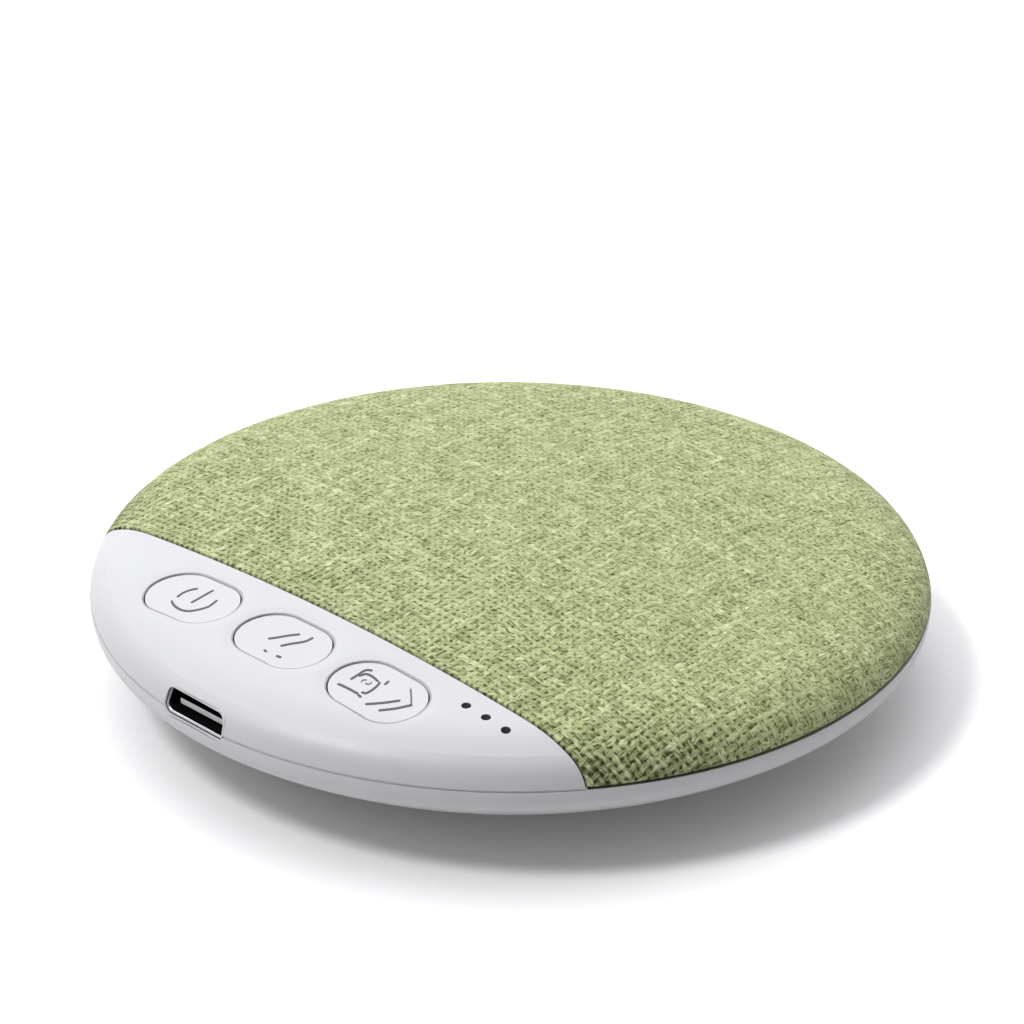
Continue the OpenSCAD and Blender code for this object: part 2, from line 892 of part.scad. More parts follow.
module speaker_basket() {
    color([0.3, 0.3, 0.32]) at_speaker() difference() {
        union() {
            tube_ring(basket_r - basket_t, flange_r, flange_bottom, flange_top);
            tube_ring(basket_r - basket_t, basket_r, basket_floor, flange_top);
            tube_ring(yoke_r - basket_t, basket_r, basket_floor, basket_floor + basket_t);
            tube_ring(yoke_r + glue_gap, yoke_r + basket_t, yoke_top - 1.5, basket_floor + basket_t);
            tube_ring(spider_r - spider_ledge, spider_r + basket_t, basket_floor, spider_z);
        }
        translate([0, 0, basket_floor - cut]) linear_extrude(flange_bottom - basket_floor - 1 + cut) windows();
    }
}

// Openings round the basket, left between six spokes
module windows() {
    difference() {
        circle(r = basket_r + cut);
        circle(r = spider_r + basket_t + 0.4);
        for (i = [0 : window_count - 1]) rotate(i * 360 / window_count) square([2 * flange_r, 3], center = true);
    }
}

module yoke_cup() {
    color(steel) at_speaker() difference() {
        translate([0, 0, yoke_bottom]) cylinder(r = yoke_r, h = yoke_top - yoke_bottom + cup_step - glue_gap);
        translate([0, 0, yoke_bottom + yoke_t]) cylinder(r = coil_r + coil_t / 2 + coil_gap, h = disc_d);
    }
}

module magnet_disc() {
    color([0.5, 0.5, 0.52]) at_speaker() translate([0, 0, yoke_bottom + yoke_t])
        cylinder(r = pole_r - 0.2, h = magnet_h);
}

module pole_piece() {
    color(steel) at_speaker() translate([0, 0, yoke_bottom + yoke_t + magnet_h]) cylinder(r = pole_r, h = pole_h);
}

module voice_coil() {
    color([0.72, 0.45, 0.2]) at_speaker() tube_ring(coil_r - coil_t / 2, coil_r + coil_t / 2, coil_bottom, coil_top);
}

module speaker_cone() {
    neck_r = coil_r + coil_t / 2;
    color([0.15, 0.15, 0.16]) at_speaker() rotate_extrude() polygon([
        [neck_r, neck_z],
        [cone_r, cone_edge_z - cone_t],
        [cone_r, cone_edge_z],
        [cone_r - 1, cone_edge_z],
        [neck_r, neck_z + cone_t]
    ]);
}

// Height of the cone's upper face at radius r
function cone_face(r) = neck_z + cone_t
    + (r - coil_r - coil_t / 2) / (cone_r - 1 - coil_r - coil_t / 2) * (cone_edge_z - neck_z - cone_t);

module dust_cap() {
    base = cone_face(cap_r) + glue_gap;
    ball_r = (pow(cap_r, 2) + pow(cap_rise, 2)) / (2 * cap_rise);
    color([0.15, 0.15, 0.16]) at_speaker() rotate_extrude() intersection() {
        difference() {
            translate([0, base + cap_rise - ball_r]) circle(r = ball_r);
            translate([0, base + cap_rise - ball_r]) circle(r = ball_r - cap_t);
        }
        translate([0, base]) square([cap_r + cut, cap_rise + cut]);
    }
}

module cone_surround() {
    color(black) at_speaker() rotate_extrude() translate([0, flange_top]) union() {
        translate([cone_r - 1, 0]) square([1 + surround_t, surround_t]);
        translate([roll_outer - surround_t, 0]) square([flange_r - roll_outer + surround_t, surround_t]);
        intersection() {
            translate([roll_mid, 0]) difference() {
                circle(r = roll_r);
                circle(r = roll_r - surround_t);
            }
            square([flange_r, roll_r + cut]);
        }
    }
}

// Corrugated ring with a flat edge that is glued to the basket's ledge
module spider() {
    inner = coil_r + coil_t / 2 + glue_gap;
    wavy_l = spider_r - spider_ledge - inner;
    steps = spider_waves * spider_steps;
    line = [for (i = [0 : steps]) [i * wavy_l / steps, spider_h * (1 - cos(360 * i / spider_steps)) / 2]];
    upper = [for (point = line) point + [0, spider_t]];
    outer = [[wavy_l + spider_ledge, spider_t], [wavy_l + spider_ledge, 0]];
    back = [for (i = [steps : -1 : 0]) line[i]];
    color([0.8, 0.6, 0.3]) at_speaker() rotate_extrude() translate([inner, spider_z])
        polygon(concat(upper, outer, back));
}

module speaker_terminal() {
    color([0.6, 0.45, 0.2]) translate([-terminal_size[0] / 2, terminal_y, flange_bottom - terminal_size[2]])
        cube(terminal_size);
}

module speaker_gasket() {
    color(black) at_speaker() tube_ring(mount_ring_inner, flange_r, mount_z - gasket_t, mount_z);
}

module speaker_screws() {
    washer_h = 0.5;
    color(steel) at_each(speaker_screw_spots()) union() {
        screw_up(flange_bottom - washer_h - small_head_h, small_head_h, small_head_r,
            small_screw_r - fit / 2, washer_h + speaker_screw_l);
        translate([0, 0, flange_bottom - washer_h]) cylinder(r = post_r + 1, h = washer_h);
    }
}

bottom_shell();
top_frame();
speaker_grille();
fabric_cover();
foot_ring();
case_screws();
power_button();
sound_button();
mode_button();
power_switch();
sound_switch();
mode_switch();
power_plunger();
sound_plunger();
mode_plunger();
light_guide();
indicator_leds();
main_board();
board_screws();
usb_c_shell();
usb_c_tongue();
control_chip();
amplifier_chip();
board_capacitors();
battery_socket();
speaker_socket();
battery_cell();
battery_pad();
battery_lead_red();
battery_lead_black();
speaker_lead_red();
speaker_lead_black();
speaker_basket();
yoke_cup();
magnet_disc();
pole_piece();
voice_coil();
speaker_cone();
dust_cap();
cone_surround();
spider();
speaker_terminal();
speaker_gasket();
speaker_screws();
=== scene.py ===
import json
import math

import bmesh
import bpy
from mathutils import Matrix, Vector, noise
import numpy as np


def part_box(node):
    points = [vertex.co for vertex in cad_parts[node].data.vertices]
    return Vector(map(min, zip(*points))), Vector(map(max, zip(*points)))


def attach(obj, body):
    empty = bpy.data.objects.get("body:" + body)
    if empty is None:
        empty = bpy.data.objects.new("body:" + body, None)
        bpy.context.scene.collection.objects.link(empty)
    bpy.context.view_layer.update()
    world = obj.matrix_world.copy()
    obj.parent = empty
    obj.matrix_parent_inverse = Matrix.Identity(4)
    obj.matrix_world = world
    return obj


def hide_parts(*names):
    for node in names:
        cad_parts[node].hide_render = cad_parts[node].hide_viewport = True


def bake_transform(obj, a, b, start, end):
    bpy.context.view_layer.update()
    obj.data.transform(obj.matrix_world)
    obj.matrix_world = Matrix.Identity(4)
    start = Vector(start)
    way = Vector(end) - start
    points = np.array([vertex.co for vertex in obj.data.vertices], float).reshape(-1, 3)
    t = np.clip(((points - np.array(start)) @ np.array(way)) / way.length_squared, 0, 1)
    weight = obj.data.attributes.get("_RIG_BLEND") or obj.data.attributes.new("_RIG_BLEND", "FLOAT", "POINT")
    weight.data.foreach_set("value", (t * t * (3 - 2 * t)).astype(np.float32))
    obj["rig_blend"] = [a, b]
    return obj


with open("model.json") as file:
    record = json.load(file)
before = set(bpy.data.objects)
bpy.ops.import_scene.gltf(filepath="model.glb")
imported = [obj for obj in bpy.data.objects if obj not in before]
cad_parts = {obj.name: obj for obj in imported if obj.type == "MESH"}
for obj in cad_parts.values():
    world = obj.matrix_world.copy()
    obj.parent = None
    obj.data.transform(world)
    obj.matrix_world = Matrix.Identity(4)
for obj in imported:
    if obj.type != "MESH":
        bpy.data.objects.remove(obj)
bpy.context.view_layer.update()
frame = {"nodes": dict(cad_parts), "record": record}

MM = 0.001
NODES = frame["nodes"]


def lowest_of(node):
    """A solid's lowest corner, in millimetres"""
    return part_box(node)[0] / MM


def highest_of(node):
    """A solid's highest corner, in millimetres"""
    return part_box(node)[1] / MM


def middle_of(node):
    """The middle of a solid's box, in millimetres"""
    return (lowest_of(node) + highest_of(node)) / 2


# Sizes in millimetres: where a solid's box has one it comes from there, and the others repeat the solids'
DISC_R = highest_of("bottom_shell").x
APEX_Z = highest_of("fabric_cover").z
UPPER_Z = lowest_of("fabric_cover").z
PANEL_EDGE_Y = lowest_of("fabric_cover").y
SEAM_GAP = 0.25
RIM_Z = 11.0
EDGE_R = 4.5
EDGE_ANGLE = math.radians(32)
SHOULDER_R = 12.0
COVER_T = 0.8
BUTTON_AT = {which: tuple(middle_of(which + "_button").xy) for which in ("power", "sound", "mode")}
BUTTON_L = 12.4
BUTTON_W = 8.3
BUTTON_GAP = 0.2
BUTTON_DROP = 0.15
LIGHT_R = 0.6
LIGHT_PITCH = 3.05
LIGHT_Y = -32.4
LIGHTS_X = [25.0 + LIGHT_PITCH * i for i in range(3)]


# ---------------------------------------------------------------- shader maths

class Field:
    """One socket of a finish's node tree. Arithmetic on it adds Math nodes."""

    def __init__(self, tree, socket=None):
        self.tree = tree
        self.socket = socket

    def add(self, kind, settings=None, inputs=None, out=0):
        """Another node: its settings first, then the values or links of its sockets"""
        node = self.tree.nodes.new("ShaderNode" + kind)
        for name, value in (settings or {}).items():
            if name == "stops":
                set_stops(node.color_ramp, value)
            else:
                setattr(node, name, value)
        for name, value in (inputs or {}).items():
            if isinstance(value, Field):
                self.tree.links.new(value.socket, node.inputs[name])
            else:
                node.inputs[name].default_value = value
        return Field(self.tree, node.outputs[out])

    def maths(self, operation, *values):
        return self.add("Math", {"operation": operation}, dict(enumerate(values)))

    def __add__(self, other):
        return self.maths("ADD", self, other)

    __radd__ = __add__

    def __sub__(self, other):
        return self.maths("SUBTRACT", self, other)

    def __rsub__(self, other):
        return self.maths("SUBTRACT", other, self)

    def __mul__(self, other):
        return self.maths("MULTIPLY", self, other)

    __rmul__ = __mul__

    def __truediv__(self, other):
        return self.maths("DIVIDE", self, other)

    def __rtruediv__(self, other):
        return self.maths("DIVIDE", other, self)

    def __abs__(self):
        return self.maths("ABSOLUTE", self)

    def floor(self):
        return self.maths("FLOOR", self)

    def cosine(self):
        return self.maths("COSINE", self)

    def root(self):
        return self.maths("SQRT", self)

    def most(self, other):
        """The larger of the two"""
        return self.maths("MAXIMUM", self, other)

    def least(self, other):
        """The smaller of the two"""
        return self.maths("MINIMUM", self, other)

    def between(self, low, high):
        """0 at low, 1 at high and smooth between"""
        return self.add("MapRange", {"interpolation_type": "SMOOTHSTEP"},
                        {"Value": self, "From Min": low, "From Max": high})

    def parts(self):
        """The three numbers of a vector"""
        split = self.add("SeparateXYZ", {}, {0: self})
        return [Field(self.tree, split.socket.node.outputs[i]) for i in range(3)]

    def at(self, x, y, z=0.0):
        """The vector of three numbers"""
        return self.add("CombineXYZ", {}, {0: x, 1: y, 2: z})

    def scaled(self, factor):
        return self.add("VectorMath", {"operation": "SCALE"}, {0: self, "Scale": factor})

    def stretched(self, factors):
        return self.add("VectorMath", {"operation": "MULTIPLY"}, {0: self, 1: factors})

    def cloudy(self, scale, detail=2.0, roughness=0.5):
        """Soft noise from 0 to 1 over this vector"""
        return self.add("TexNoise", {}, {"Vector": self, "Scale": scale, "Detail": detail,
                                         "Roughness": roughness})

    def cells(self, scale):
        """Distance to the nearest of many scattered points"""
        return self.add("TexVoronoi", {}, {"Vector": self, "Scale": scale})

    def ramp(self, *stops):
        return self.add("ValToRGB", {"stops": stops}, {0: self})

    def tint(self, low, high):
        """Colour that goes from low to high as this number goes from 0 to 1"""
        return self.add("Mix", {"data_type": "RGBA"}, {0: self, 6: low, 7: high}, out=2)

    def bump(self, distance, strength=1.0):
        """A surface that rises by the distance in millimetres as this number goes from 0 to 1"""
        return self.add("Bump", {}, {"Height": self, "Distance": distance * MM, "Strength": strength})

    def place(self):
        """The point of the piece, in millimetres"""
        return self.add("TexCoord", {}, {}, "Object").scaled(1 / MM)


def set_stops(ramp, stops):
    while len(ramp.elements) < len(stops):
        ramp.elements.new(1.0)
    for element, (position, colour) in zip(ramp.elements, stops):
        element.position = position
        element.color = colour


def shade(red, green, blue):
    """Screen colour from 0 to 255 as the linear colour that a shader takes"""
    def linear(value):
        value /= 255
        return value / 12.92 if value <= 0.04045 else ((value + 0.055) / 1.055) ** 2.4
    return (linear(red), linear(green), linear(blue), 1.0)


def darker(tint, share):
    """The tint with that share of its light gone"""
    return tuple(c * (1 - share) for c in tint[:3]) + (1.0,)


def finish(name, values, vary=None):
    """A material: the values are the same all over, and vary gives what changes over the surface"""
    material = bpy.data.materials.new(name)
    material.use_nodes = True
    tree = material.node_tree
    shader = tree.nodes["Principled BSDF"]
    for socket, value in values.items():
        shader.inputs[socket].default_value = value
    if vary:
        for socket, field in vary(Field(tree)).items():
            tree.links.new(field.socket, shader.inputs[socket])
    return material


# ---------------------------------------------------------------- woven cloth

PITCH = 0.98
DRIFT = 1.3
WOBBLE = 0.75
YARN = ((0.1, shade(107, 116, 77)), (0.4, shade(151, 159, 118)),
        (0.65, shade(185, 192, 152)), (0.95, shade(222, 225, 197)))
# Painted shade: the tint of the gaps and of the threads' low sides
GAP_SHADE_TINT = shade(76, 86, 50)
# Painted shade on the cloth's front: how much further the gap shade reaches towards the panel, and where the
# cloth turns down in front
FRONT_GAP_SHADE = 0.1
TURNED_DOWN_GAP_SHADE = 0.18
# How much each trait of a thread adds to its height, and to how light it is
HEIGHT_SHARES = {"crown": 0.44, "wave": 0.12, "slub": 0.16, "fleck": 0.16, "fibre": 0.12, "strand": 0.2}
TONE_SHARES = {"slub": 0.14, "fleck": 0.2, "fibre": 0.2, "strand": 0.5}
TONE_START = 0.32


def weave(start):
    """Plain weave of slubby, mottled yarn, laid out on the flat cloth, with painted shade in the gaps and on
    the threads' low sides
    """
    flat = start.add("UVMap", {"uv_map": "cut"})
    x, y, _ = flat.parts()
    across = x + stray(flat)
    along = y + stray(flat.at(y, x, 7.7))
    warp_height, warp_tone = thread(across, along, seed=3.1, phase=0.0)
    weft_height, weft_tone = thread(along, across, seed=17.7, phase=math.pi)
    warp_over = (warp_height - weft_height).between(-0.06, 0.06)
    height = warp_height.most(weft_height)
    tone = weft_tone + (warp_tone - weft_tone) * warp_over
    blotch = flat.stretched((1.0, 0.7, 1.0)).cloudy(0.2, 3, 0.55)
    yarn = (tone + (blotch - 0.5) * 0.1).ramp(*YARN)
    # Painted shade: the low places of the weave take the gap tint, more of them towards the front
    out_of_gap_shade = (height - gap_shade_reach(x, y)).between(-0.02, 0.5)
    relief = height * 0.9 + tone * 0.25
    return {"Base Color": out_of_gap_shade.tint(GAP_SHADE_TINT, yarn), "Normal": relief.bump(0.2, 0.9)}


def stray(flat):
    """How far a thread lies off its line: a slow drift and a quick wobble"""
    return (flat.cloudy(0.11, 2) - 0.5) * DRIFT + (flat.cloudy(0.8, 3) - 0.5) * WOBBLE


def gap_shade_reach(x, y):
    """How far the painted shade between the threads reaches up them: further towards the panel, and furthest
    where the cloth turns down in front
    """
    forward = y * -1
    from_middle = (x * x + y * y).root()
    turned_down = from_middle.between(43.0, 51.5) * forward.between(0.0, 30.0)
    return forward.between(-5.0, 40.0) * FRONT_GAP_SHADE + turned_down * TURNED_DOWN_GAP_SHADE


def thread(across, along, seed, phase):
    """Height and tone of the threads that run one way: they wave over and under, thick and thin"""
    turn = across / PITCH
    step = along / PITCH
    index = turn.floor()
    side = (turn - index - 0.5) * 2
    # A slub runs on for many stitches and a fleck for two, and five fibres lie side by side
    fibre = swing(turn * 5.0, step * 0.6, seed + 80, 0.5, 2.4)
    traits = {"crown": 1 - side * side,
              "wave": ((step - 0.5 + index) * math.pi + phase).cosine(),
              "slub": swing(index * 1.37, step * 0.12, seed, 0.6, 2.4),
              "fleck": swing(index * 2.71, step * 0.5, seed + 40, 0.6, 2.2),
              "fibre": fibre,
              "strand": (1 - abs(fibre) * 2.4).most(0.0)}
    return mixed(traits, HEIGHT_SHARES), mixed(traits, TONE_SHARES) + TONE_START


def swing(x, y, z, roughness, width):
    """Noise that swings about 0, over a place given by three numbers"""
    return (x.at(x, y, z).cloudy(1.0, 2, roughness) - 0.5) * width


def mixed(traits, shares):
    return sum(traits[name] * share for name, share in shares.items())


# ---------------------------------------------------------------- panel and lights

WHITE = (0.615, 0.617, 0.626, 1.0)
GRAIN_FINENESS = 9.0
GRAIN_DEPTH = 0.004
WALL_END = 0.03
# Painted shade: a grey line round each button hole, full near the hole and gone further out
HOLE_SHADE_FULL = 0.08
HOLE_SHADE_END = 0.2
HOLE_SHADE_TINT = shade(160, 161, 166)
# Painted light: the holes' walls are lighter than the white plastic
HOLE_WALL_LIGHT = (0.9, 0.9, 0.91, 1.0)
DISH_WIDTH = 1.5
DISH_DEPTH = 0.1
LIGHT_DISH_CURVE = 0.2
# Painted shade and painted light: the front and the back of each dished window
SMOKE_SHADED = shade(2, 2, 3)
SMOKE_LIT = shade(66, 67, 71)


def satin(tint):
    """Smooth moulded plastic with a very fine grain and the faintest unevenness of colour"""
    def vary(start):
        place = start.place()
        broad = place.cloudy(0.05, 2)
        wear = place.cloudy(0.6, 3)
        return {"Base Color": broad.tint(darker(tint, 0.02), tint), "Roughness": 0.33 + wear * 0.12,
                "Normal": place.cloudy(GRAIN_FINENESS, 2).bump(GRAIN_DEPTH)}
    return vary


def hole_distance(place):
    """How far a point of the panel is from the edge of the nearest button hole"""
    x, y, _ = place.parts()
    nearest = None
    for across, back in BUTTON_AT.values():
        beyond = (abs(x - across) - (BUTTON_L - BUTTON_W) / 2).most(0.0)
        aside = y - back
        away = (beyond * beyond + aside * aside).root() - (BUTTON_W / 2 + BUTTON_GAP)
        nearest = away if nearest is None else nearest.least(away)
    return nearest


def dished(start):
    """The white plastic, eased down around the button holes, with a painted shade line round each hole and
    painted light on the holes' walls
    """
    values = satin(WHITE)(start)
    place = start.place()
    away = hole_distance(place)
    # Painted shade in a thin band round each hole, and painted light on the walls
    edge = away.between(HOLE_SHADE_END, HOLE_SHADE_FULL) * away.between(0.0, WALL_END)
    top = edge.tint(values["Base Color"], HOLE_SHADE_TINT)
    grain = place.cloudy(GRAIN_FINENESS, 2) * GRAIN_DEPTH
    values["Base Color"] = away.between(WALL_END, 0.0).tint(top, HOLE_WALL_LIGHT)
    values["Normal"] = (grain + away.between(0.0, DISH_WIDTH) * DISH_DEPTH).bump(1.0)
    return values


def lens(start):
    """Dark windows of the indicator lights, each a shallow dish with painted light towards its back and
    painted shade towards its front
    """
    place = start.place()
    x, y, _ = place.parts()
    back = y - LIGHT_Y
    off = None
    for light_x in LIGHTS_X:
        across = x - light_x
        dish = across * across + back * back
        off = dish if off is None else off.least(dish)
    smoke = place.cloudy(2.0, 3)
    # Painted light: paler towards each window's back, with a little random smoke
    paler = back.between(-LIGHT_R, LIGHT_R) * 0.8 + smoke * 0.2
    return {"Base Color": paler.tint(SMOKE_SHADED, SMOKE_LIT), "Roughness": 0.25 + smoke * 0.2,
            "Normal": (off * LIGHT_DISH_CURVE).bump(1.0)}


# ---------------------------------------------------------------- other finishes

def matte(tint, grain=0.02, fineness=6.0):
    """Textured plastic or rubber"""
    def vary(start):
        fine = start.place().cloudy(fineness, 3, 0.6)
        return {"Base Color": fine.tint(darker(tint, 0.15), tint), "Roughness": 0.5 + fine * 0.3,
                "Normal": fine.bump(grain)}
    return vary


def plated(tint):
    """Plated or drawn metal, finely streaked"""
    def vary(start):
        place = start.place()
        streak = place.stretched((1.0, 1.0, 12.0)).cloudy(1.5, 3, 0.6)
        stain = place.cloudy(0.8, 3)
        return {"Base Color": stain.tint(darker(tint, 0.2), tint), "Roughness": 0.22 + streak * 0.2,
                "Normal": streak.bump(0.003)}
    return vary


def foamed(tint):
    """Foam with open, cut cells, with painted shade in the cells' hollows"""
    def vary(start):
        cells = start.place().cells(3.5)
        # Painted shade: darker in the cells' hollows
        return {"Base Color": cells.between(0.0, 0.5).tint(darker(tint, 0.6), tint),
                "Normal": cells.bump(0.12)}
    return vary


def fibrous(tint, dark):
    """Pressed paper or felted cloth"""
    def vary(start):
        hairs = start.place().stretched((1.0, 0.25, 1.0)).cloudy(5.0, 4, 0.7)
        return {"Base Color": hairs.tint(dark, tint), "Roughness": 0.6 + hairs * 0.3,
                "Normal": hairs.bump(0.03)}
    return vary


def soldered_board(start):
    """Green mask over glass cloth, with the faint grid of the cloth under it"""
    place = start.place()
    x, y, _ = place.parts()
    grid = (x * 9.0).cosine() * (y * 9.0).cosine()
    tone = place.cloudy(0.4, 2) * 0.6 + grid * 0.1 + 0.2
    return {"Base Color": tone.tint(shade(12, 72, 40), shade(24, 118, 66)),
            "Normal": grid.bump(0.004)}


def wound(start):
    """Fine enamelled wire, wound turn on turn, with painted shade between the turns and a painted highlight
    on their crowns
    """
    _, _, z = start.place().parts()
    turns = abs((z * 14.0).cosine())
    # Painted shade between the turns, painted highlight on their crowns
    return {"Base Color": turns.tint(shade(120, 60, 26), shade(214, 130, 70)),
            "Normal": turns.bump(0.04)}


def crinkled(start):
    """Pouch foil with faint creases"""
    crease = start.place().cloudy(0.35, 4, 0.6)
    return {"Base Color": crease.tint(shade(150, 153, 158), shade(214, 216, 220)),
            "Roughness": 0.25 + crease * 0.25, "Normal": crease.bump(0.12)}


def coarse_cloth(start):
    """Open cotton cloth dipped in resin, with painted shade between the threads"""
    x, y, _ = start.place().parts()
    threads = ((x * 8.0).cosine() * 0.5 + 0.5).most((y * 8.0).cosine() * 0.5 + 0.5)
    # Painted shade: darker between the threads
    return {"Base Color": threads.tint(shade(110, 74, 22), shade(206, 166, 92)),
            "Normal": threads.bump(0.08)}


FINISHES = {
    "white_plastic": finish("white_plastic", {"Specular IOR Level": 0.4}, satin(WHITE)),
    "black_plastic": finish("black_plastic", {}, matte(shade(46, 46, 49))),
    "cloth": finish("woven_cloth", {"Roughness": 0.92, "Specular IOR Level": 0.15,
                                    "Sheen Weight": 0.12, "Sheen Roughness": 0.6}, weave),
    "grey_rubber": finish("grey_rubber", {"Specular IOR Level": 0.3}, matte(shade(182, 182, 186), 0.03)),
    "screw_steel": finish("screw_steel", {"Metallic": 1.0}, plated(shade(196, 198, 203))),
    "switch_metal": finish("switch_metal", {"Metallic": 1.0}, plated(shade(205, 206, 210))),
    "smoked_plastic": finish("smoked_plastic", {"Specular IOR Level": 0.22}, lens),
    "led_resin": finish("led_resin", {"Coat Weight": 0.5}, satin(shade(226, 222, 190))),
    "board_laminate": finish("board_laminate", {"Roughness": 0.35}, soldered_board),
    "socket_metal": finish("socket_metal", {"Metallic": 1.0}, plated(shade(226, 227, 231))),
    "socket_plastic": finish("socket_plastic", {}, satin(shade(206, 207, 210))),
    "socket_white": finish("socket_white", {}, satin(shade(232, 228, 216))),
    "cell_foil": finish("cell_foil", {"Metallic": 1.0}, crinkled),
    "foam": finish("foam", {"Roughness": 0.95}, foamed(shade(74, 74, 76))),
    "red_insulation": finish("red_insulation", {}, satin(shade(196, 38, 34))),
    "black_insulation": finish("black_insulation", {}, satin(shade(42, 42, 44))),
    "basket_metal": finish("basket_metal", {"Metallic": 0.3}, matte(shade(66, 66, 70), 0.01)),
    "magnet_metal": finish("magnet_metal", {"Metallic": 1.0}, plated(shade(190, 192, 196))),
    "coil_copper": finish("coil_copper", {"Metallic": 1.0, "Roughness": 0.3}, wound),
    "cone_paper": finish("cone_paper", {}, fibrous(shade(88, 88, 92), shade(48, 48, 52))),
    "surround_rubber": finish("surround_rubber", {}, matte(shade(52, 52, 54), 0.01)),
    "spider_cloth": finish("spider_cloth", {"Roughness": 0.85}, coarse_cloth),
    "terminal_laminate": finish("terminal_laminate", {}, fibrous(shade(182, 140, 82), shade(128, 92, 46))),
}
# Black for painted shade inside the socket
PORT_SHADE_BLACK = finish("port_shade_black", {"Specular IOR Level": 0.15}, matte(shade(9, 9, 10), 0.004, 8.0))
INK = finish("sign_ink", {"Roughness": 0.6}, matte(shade(124, 125, 130), 0.004, 8.0))
PANEL_PLASTIC = finish("panel_plastic", {"Specular IOR Level": 0.26}, dished)


def dress_solids():
    """Every solid gets the finish of its material slot, and the panel its own"""
    for part in frame["record"]["subparts"]:
        piece = NODES[part["node"]]
        piece.data.materials.clear()
        piece.data.materials.append(FINISHES[part["material_slot"]])
    NODES["top_frame"].data.materials[0] = PANEL_PLASTIC


# ---------------------------------------------------------------- shapes

class Skin:
    """The disc's top surface as an arc length from its middle: dome, shoulder and edge"""

    def __init__(self):
        lean = Vector((math.sin(EDGE_ANGLE), math.cos(EDGE_ANGLE)))
        self.edge_at = Vector((DISC_R - EDGE_R, RIM_Z))
        self.shoulder_at = self.edge_at + (EDGE_R - SHOULDER_R) * lean
        drop = self.shoulder_at.y - APEX_Z
        self.dome_r = (SHOULDER_R ** 2 - self.shoulder_at.x ** 2 - drop ** 2) / (2 * (drop + SHOULDER_R))
        self.dome_at = Vector((0, APEX_Z - self.dome_r))
        away = self.shoulder_at - self.dome_at
        self.dome_angle = math.atan2(away.x, away.y)
        self.low_angle = math.pi / 2 - math.asin((UPPER_Z - RIM_Z) / EDGE_R)
        self.dome_l = self.dome_r * self.dome_angle
        self.shoulder_l = SHOULDER_R * (EDGE_ANGLE - self.dome_angle)
        self.length = self.dome_l + self.shoulder_l + EDGE_R * (self.low_angle - EDGE_ANGLE)

    def at(self, along, depth=0.0):
        """Radius and height of the point that far along, that deep under the surface"""
        if along <= self.dome_l:
            centre, r, angle = self.dome_at, self.dome_r, along / self.dome_r
        elif along <= self.dome_l + self.shoulder_l:
            centre, r = self.shoulder_at, SHOULDER_R
            angle = self.dome_angle + (along - self.dome_l) / SHOULDER_R
        else:
            centre, r = self.edge_at, EDGE_R
            angle = EDGE_ANGLE + (along - self.dome_l - self.shoulder_l) / EDGE_R
        return centre + (r - depth) * Vector((math.sin(angle), math.cos(angle)))

    def along(self, radius):
        """How far along the surface reaches that radius"""
        low, high = 0.0, self.length
        for _ in range(40):
            middle = (low + high) / 2
            if self.at(middle).x < radius:
                low = middle
            else:
                high = middle
        return (low + high) / 2

    def height(self, x, y):
        """Height of the surface over a point of the plan"""
        return self.at(self.along(math.hypot(x, y))).y


skin = Skin()


def arc(start, end, steps):
    """Numbers from start to end, in even steps"""
    return [start + (end - start) * i / steps for i in range(steps + 1)]


def held(value):
    """The value, kept between 0 and 1"""
    return min(1.0, max(0.0, value))


def edge_radius(z, depth):
    """How far from the middle the disc's rounded edge is at that height, that deep in it"""
    return DISC_R - EDGE_R + math.sqrt((EDGE_R - depth) ** 2 - (z - RIM_Z) ** 2)


def new_piece(name, points, faces, body, material, smooth=True):
    """A mesh piece from points in millimetres, riding on a body"""
    mesh = bpy.data.meshes.new(name)
    mesh.from_pydata([Vector(p) * MM for p in points], [], faces)
    mesh.validate()
    shape = bmesh.new()
    shape.from_mesh(mesh)
    bmesh.ops.recalc_face_normals(shape, faces=shape.faces)
    for face in shape.faces:
        face.smooth = smooth
    shape.to_mesh(mesh)
    shape.free()
    mesh.materials.append(material)
    piece = bpy.data.objects.new(name, mesh)
    bpy.context.scene.collection.objects.link(piece)
    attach(piece, body)
    return piece


def loft(name, loops, material, around=True, smooth=True):
    """Skin over loops with the same number of points; around joins the last loop to the first"""
    n = len(loops[0])
    points = [point for loop in loops for point in loop]
    faces = []
    for k in range(len(loops) if around else len(loops) - 1):
        a, b = k * n, (k + 1) % len(loops) * n
        faces += [(a + i, a + (i + 1) % n, b + (i + 1) % n, b + i) for i in range(n)]
    if not around:
        faces += [tuple(range(n)), tuple(range(len(points) - n, len(points)))]
    return new_piece(name, points, faces, "case", material, smooth)


# ---------------------------------------------------------------- cover

RINGS = 96
HIDDEN_RINGS = 16
ROUND_STEPS = 300
PANEL_STEPS = 160
TURN_R = 0.38
TURN_STEPS = 6
TOP_DEPTH = 0.03
LIP_RISE = 0.22
LIP_WIDTH = 2.6
LIP_END_X = 36.0
LIP_FADE = 6.0
DIP = 0.05
DIP_LENGTHS = (9, 5)
CALM_WIDTH = 3.0


def lip(along, angle):
    """How much the cloth stands up beside the panel: 1 at its edge and 0 further in"""
    back = (along * math.sin(angle) - PANEL_EDGE_Y) / LIP_WIDTH
    side = (abs(along * math.cos(angle)) - LIP_END_X) / LIP_FADE
    return held(1.0 - abs(back)) ** 1.5 * held(1.0 - side)


def dip(along, angle, end):
    """How deep the stretched cloth lies there; it is calm towards its edge"""
    x, y = along * math.cos(angle), along * math.sin(angle)
    waves = 1 + noise.noise(Vector((x / DIP_LENGTHS[0], y / DIP_LENGTHS[1], 2.3)))
    return held((end - along) / CALM_WIDTH) * DIP * waves / 2


def cover_end(angle):
    """How far the cloth reaches that way: to the parting line, or to the panel's edge"""
    if math.sin(angle) * skin.at(skin.length).x >= PANEL_EDGE_Y - 1e-6:
        return skin.length
    return skin.along(PANEL_EDGE_Y / math.sin(angle))


